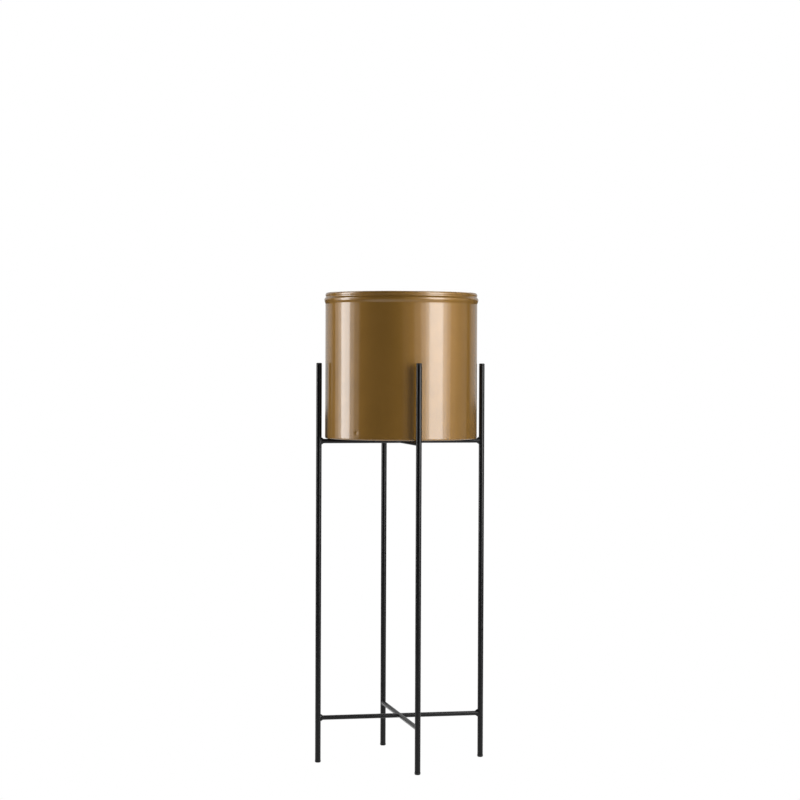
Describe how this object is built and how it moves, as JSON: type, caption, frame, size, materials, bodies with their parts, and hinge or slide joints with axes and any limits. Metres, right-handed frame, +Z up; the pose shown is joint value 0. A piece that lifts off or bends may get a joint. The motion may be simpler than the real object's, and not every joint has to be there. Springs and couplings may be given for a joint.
{
  "type": "plant stand with round metal pot",
  "caption": "Tall round metal pot with a rolled rim, standing on a crossed-bar frame between slim black upright tubes.",
  "frame": {"origin": "centre of the stand at floor level, on the common axis of stand and pot", "axes": "+Z up along the pot's axis, -Y towards the front leg, +X towards the right leg"},
  "size_m": [0.3406, 0.3406, 0.9243],
  "materials": {
    "black_coat": "satin black powder coat",
    "black_plastic": "matt black",
    "gold_metal": "satin gold lacquer on sheet metal"
  },
  "bodies": {
    "stand": {"leg_left": "black_coat", "leg_back": "black_coat", "leg_right": "black_coat", "leg_front": "black_coat", "cap_left": "black_plastic", "cap_back": "black_plastic", "cap_right": "black_plastic", "cap_front": "black_plastic", "foot_left": "black_plastic", "foot_back": "black_plastic", "foot_right": "black_plastic", "foot_front": "black_plastic", "lower_bar_front_back": "black_coat", "lower_bar_left": "black_coat", "lower_bar_right": "black_coat", "upper_bar_front_back": "black_coat", "upper_bar_left": "black_coat", "upper_bar_right": "black_coat", "lower_weld_left": "black_coat", "lower_weld_back": "black_coat", "lower_weld_right": "black_coat", "lower_weld_front": "black_coat", "lower_weld_centre": "black_coat", "upper_weld_left": "black_coat", "upper_weld_back": "black_coat", "upper_weld_right": "black_coat", "upper_weld_front": "black_coat", "upper_weld_centre": "black_coat"},
    "pot": {"pot_wall": "gold_metal", "pot_base": "gold_metal"}
  },
  "joints": [
    {"name": "pot_lift", "type": "slide", "parent": "stand", "child": "pot", "axis": [0, 0, 1], "range_m": [0, 0.18]}
  ]
}
